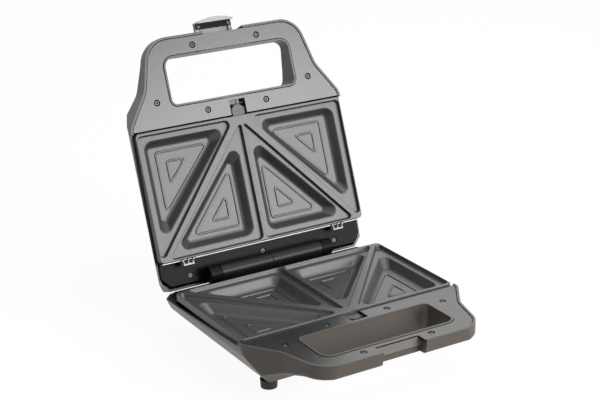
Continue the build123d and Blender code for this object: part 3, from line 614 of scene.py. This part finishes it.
def latchHollowShade():
    # black box of painted shade in the hollow behind the clip's hook, with a small rib at each end
    size = {"width": 39.4, "behind": 11.45, "rise": 2.35, "from": -20.1, "to": -14.8, "rib": (3.2, 3.0, 0.7)}
    dark, ribs = bmesh.new(), bmesh.new()
    half = size["width"] * mm / 2
    y, z = latchPivot.y - size["behind"] * mm, latchPivot.z
    top = y + size["rise"] * mm
    # black box: painted shade deep in the clip's hollow
    addBox(dark, (-half, y, z + size["from"] * mm), (half, top, z + size["to"] * mm))
    width, height, thick = (value * mm for value in size["rib"])
    for side in (-1, 1):
        middle = side * (half - width)
        low = z + size["from"] * mm + 1.2 * mm
        addBox(ribs, (middle - width / 2, top, low), (middle + width / 2, top + thick, low + height))
    for bm, name, slot, finish in (
        (dark, "latch-hollow", "black_cover", "shade_black"), (ribs, "latch-ribs", "grey_catch", None),
    ):
        bmesh.ops.transform(bm, matrix=toLatch, verts=bm.verts)
        piece = newPiece(name, bm, slot, "latch", finish)
        softenEdges(piece, 0.15 * mm)


latchHollowShade()
print("clips and latch details made")


def edgeLines(loop):
    # the three longest straight runs of a closed outline, as (point, direction) in plan
    runs = []
    for one, two in zip(loop, loop[1:] + loop[:1]):
        step = two - one
        runs.append((step.length, one, step.normalized()))
    runs.sort(key=lambda run: -run[0])
    found = []
    for _, point, along in runs:
        if all(abs(along.cross(other)) > 0.2 for _, other in found):
            found.append((point, along))
    return found[:3]


def meeting(one, two):
    (p, a), (q, b) = one, two
    return p + a * ((q - p).cross(b) / a.cross(b))


def roundedTriangle(corners, inset, radius, steps=5):
    # outline of a triangle drawn in by inset, its corners rounded, counter-clockwise
    middle = sum(corners, Vector((0, 0))) / 3
    lines = []
    for one, two in zip(corners, corners[1:] + corners[:1]):
        along = (two - one).normalized()
        inward = Vector((-along.y, along.x))
        if inward.dot(middle - one) < 0:
            inward.negate()
        lines.append((one + inward * inset, along))
    points = []
    for before, after in zip(lines[-1:] + lines[:-1], lines):
        corner = meeting(before, after)
        back, ahead = -before[1], after[1]
        half = back.angle(ahead) / 2
        centre = corner + (back + ahead).normalized() * radius / math.sin(half)
        first = corner + back * radius / math.tan(half) - centre
        last = corner + ahead * radius / math.tan(half) - centre
        for i in range(steps + 1):
            share = i / steps
            points.append(centre + (first * (1 - share) + last * share).normalized() * radius)
    return points


def ribTriangles(node, place, level):
    # sharp corners of each raised triangle, read off the flat tops of the solid's own ribs
    bm = bmesh.new()
    bm.from_mesh(frame["nodes"][node].data)
    bmesh.ops.remove_doubles(bm, verts=bm.verts, dist=0.002 * mm)
    bmesh.ops.transform(bm, matrix=place.inverted(), verts=bm.verts)
    top = hinge.z - level
    tops = {face for face in bm.faces if all(abs(vert.co.z - top) < 0.01 * mm for vert in face.verts)}
    rims = {}
    for face in tops:
        for edge in face.edges:
            if sum(other in tops for other in edge.link_faces) == 1:
                for vert in edge.verts:
                    rims.setdefault(vert, []).append(edge.other_vert(vert))
    found, seen = [], set()
    for start in rims:
        if start in seen:
            continue
        loop, vert = [], start
        while vert is not None:
            seen.add(vert)
            loop.append(vert.co.xy.copy())
            vert = next((other for other in rims[vert] if other not in seen), None)
        one, two, three = edgeLines(loop)
        found.append([meeting(one, two), meeting(two, three), meeting(three, one)])
    bm.free()
    spread = lambda corners: max((p - q).length for p in corners for q in corners)
    found.sort(key=lambda corners: (round(sum(p.x for p in corners) / 3 / mm / 6), spread(corners)))
    return found


def triangleArea(corners):
    one, two, three = corners
    return abs((two - one).cross(three - one)) / 2


def floorRibs(node, place, finish):
    # the raised triangles on the pocket floors, as broad as the photograph shows them
    size = {
        "level": 11.6, "height": 0.95, "flank": 0.9, "grow": 0.9, "width": 2.5, "slope": 0.7,
        "large": 30.0, "rounds": (3.0, 1.9), "least": 0.5,
    }
    grow, width, slope, floorLevel = (size[key] * mm for key in ("grow", "width", "slope", "flank"))
    base = hinge.z - size["level"] * mm - size["flank"] * mm
    rows = (
        (-grow, -0.05 * mm), (-grow + slope, size["height"] * mm),
        (width - grow - slope, size["height"] * mm), (width - grow, -0.05 * mm),
    )
    loops = ribTriangles(node, place, size["level"] * mm)
    # each rib's top has an outer and an inner rim; the outer one of a pair holds the larger triangle
    outers = []
    for corners in sorted(loops, key=triangleArea, reverse=True):
        middle = sum(corners, Vector((0, 0))) / 3
        pairs = [other for other in outers if (other[1] - middle).length < 1.2 * mm]
        held = any(triangleArea(other[0]) < 1.6 * triangleArea(corners) for other in pairs)
        if not held:
            outers.append((corners, middle))
    bm = bmesh.new()
    for corners, middle in outers:
        longest = max((p - q).length for p in corners for q in corners)
        radius = size["rounds"][0 if longest > size["large"] * mm else 1] * mm
        rings = [
            [bm.verts.new((point.x, point.y, base + height)) for point in
             roundedTriangle(corners, inset, max(radius - inset, size["least"] * mm))]
            for inset, height in rows
        ]
        for near, far in zip(rings, rings[1:] + rings[:1]):
            for i in range(len(near)):
                j = (i + 1) % len(near)
                bm.faces.new((near[i], near[j], far[j], far[i]))
    bmesh.ops.transform(bm, matrix=place, verts=bm.verts)
    bmesh.ops.recalc_face_normals(bm, faces=bm.faces)
    piece = newPiece(node.replace("_", "-") + "-ribs", bm, slotOf[node], frame["nodes"][node]["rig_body"], finish)
    softenEdges(piece, 0.12 * mm, 2, 30)
    print(node, "ribs:", len(outers))


floorRibs("lower_plate", Matrix.Identity(4), "lit_base_coating")
floorRibs("upper_plate", toLid, None)


# stage: pale floor, one large card to the front right, plain sky, the camera

def lookingAt(place, target):
    return (Vector(target) - Vector(place)).to_track_quat("-Z", "Y").to_matrix().to_4x4()


def card(name, azimuth, elevation, distance, size, power):
    # azimuth from the front towards the right, as seen from above
    a, e = math.radians(azimuth), math.radians(elevation)
    middle = Vector((0.0, 0.03, 0.12))
    place = middle + distance * Vector((math.sin(a) * math.cos(e), -math.cos(a) * math.cos(e), math.sin(e)))
    light = bpy.data.lights.new(name, "AREA")
    light.shape = "RECTANGLE"
    light.size, light.size_y = size
    light.energy = power
    lamp = bpy.data.objects.new(name, light)
    lamp.matrix_world = Matrix.Translation(place) @ lookingAt(place, middle)
    bpy.context.scene.collection.objects.link(lamp)


def whiteToCamera(tree, lit, backdrop):
    # what camera, mirror and glass rays see is the plain white backdrop
    nodes, links = tree.nodes, tree.links
    path = nodes.new("ShaderNodeLightPath")
    seen = None
    for name in ("Is Camera Ray", "Is Glossy Ray", "Is Transmission Ray"):
        if seen is None:
            seen = path.outputs[name]
            continue
        most = nodes.new("ShaderNodeMath")
        most.operation = "MAXIMUM"
        links.new(seen, most.inputs[0])
        links.new(path.outputs[name], most.inputs[1])
        seen = most.outputs[0]
    mix = nodes.new("ShaderNodeMixShader")
    links.new(seen, mix.inputs[0])
    links.new(lit.outputs[0], mix.inputs[1])
    links.new(backdrop.outputs[0], mix.inputs[2])
    return mix


def sky():
    look = {"fill": 0.38, "backdrop": 1.0}
    world = bpy.data.worlds.new("studio")
    bpy.context.scene.world = world
    world.use_nodes = True
    tree = world.node_tree
    fill = tree.nodes["Background"]
    fill.inputs["Strength"].default_value = look["fill"]
    fill.inputs["Color"].default_value = grey(1.0)
    white = tree.nodes.new("ShaderNodeBackground")
    white.inputs["Strength"].default_value = look["backdrop"]
    white.inputs["Color"].default_value = grey(1.0)
    mix = whiteToCamera(tree, fill, white)
    tree.links.new(mix.outputs[0], tree.nodes["World Output"].inputs[0])


def floor():
    look = {"half": 6.0, "paint": 0.9, "whiteShare": 0.94}
    bm = bmesh.new()
    bmesh.ops.create_grid(bm, x_segments=1, y_segments=1, size=look["half"])
    mesh = bpy.data.meshes.new("floor")
    bm.to_mesh(mesh)
    bm.free()
    ground = bpy.data.objects.new("floor", mesh)
    ground.location.z = cadLow.z - 0.05 * mm
    bpy.context.scene.collection.objects.link(ground)
    material = bpy.data.materials.new("floorPaint")
    material.use_nodes = True
    tree = material.node_tree
    shader = tree.nodes["Principled BSDF"]
    shader.inputs["Base Color"].default_value = grey(look["paint"])
    shader.inputs["Roughness"].default_value = 0.9
    glow = tree.nodes.new("ShaderNodeEmission")
    share = tree.nodes.new("ShaderNodeMixShader")
    share.inputs[0].default_value = look["whiteShare"]
    tree.links.new(shader.outputs[0], share.inputs[1])
    tree.links.new(glow.outputs[0], share.inputs[2])
    mix = whiteToCamera(tree, shader, share)
    tree.links.new(mix.outputs[0], tree.nodes["Material Output"].inputs[0])
    mesh.materials.append(material)


def camera():
    view = {
        "place": (-0.66243, -1.105825, 0.60436), "focalPixels": 1485.1, "imageWidth": 600,
        "yaw": 30.88, "pitch": 19.98, "roll": -1.15,
    }
    lens = bpy.data.cameras.new("camera")
    lens.sensor_width = 36.0
    lens.lens = view["focalPixels"] / view["imageWidth"] * lens.sensor_width
    lens.clip_start, lens.clip_end = 0.05, 50.0
    eye = bpy.data.objects.new("camera", lens)
    eye.matrix_world = (
        Matrix.Translation(view["place"])
        @ Matrix.Rotation(math.radians(-view["yaw"]), 4, "Z")
        @ Matrix.Rotation(math.radians(90 - view["pitch"]), 4, "X")
        @ Matrix.Rotation(math.radians(view["roll"]), 4, "Z")
    )
    bpy.context.scene.collection.objects.link(eye)
    bpy.context.scene.camera = eye


sky()
floor()
camera()
card("keyCard", 28, 16, 1.6, (0.9, 0.7), 30)
card("backCard", 142, 32, 1.7, (0.9, 0.8), 5)
card("topCard", 20, 62, 1.8, (1.3, 1.3), 22)
bpy.context.scene.view_settings.view_transform = "Standard"
print("stage, lights and camera set")
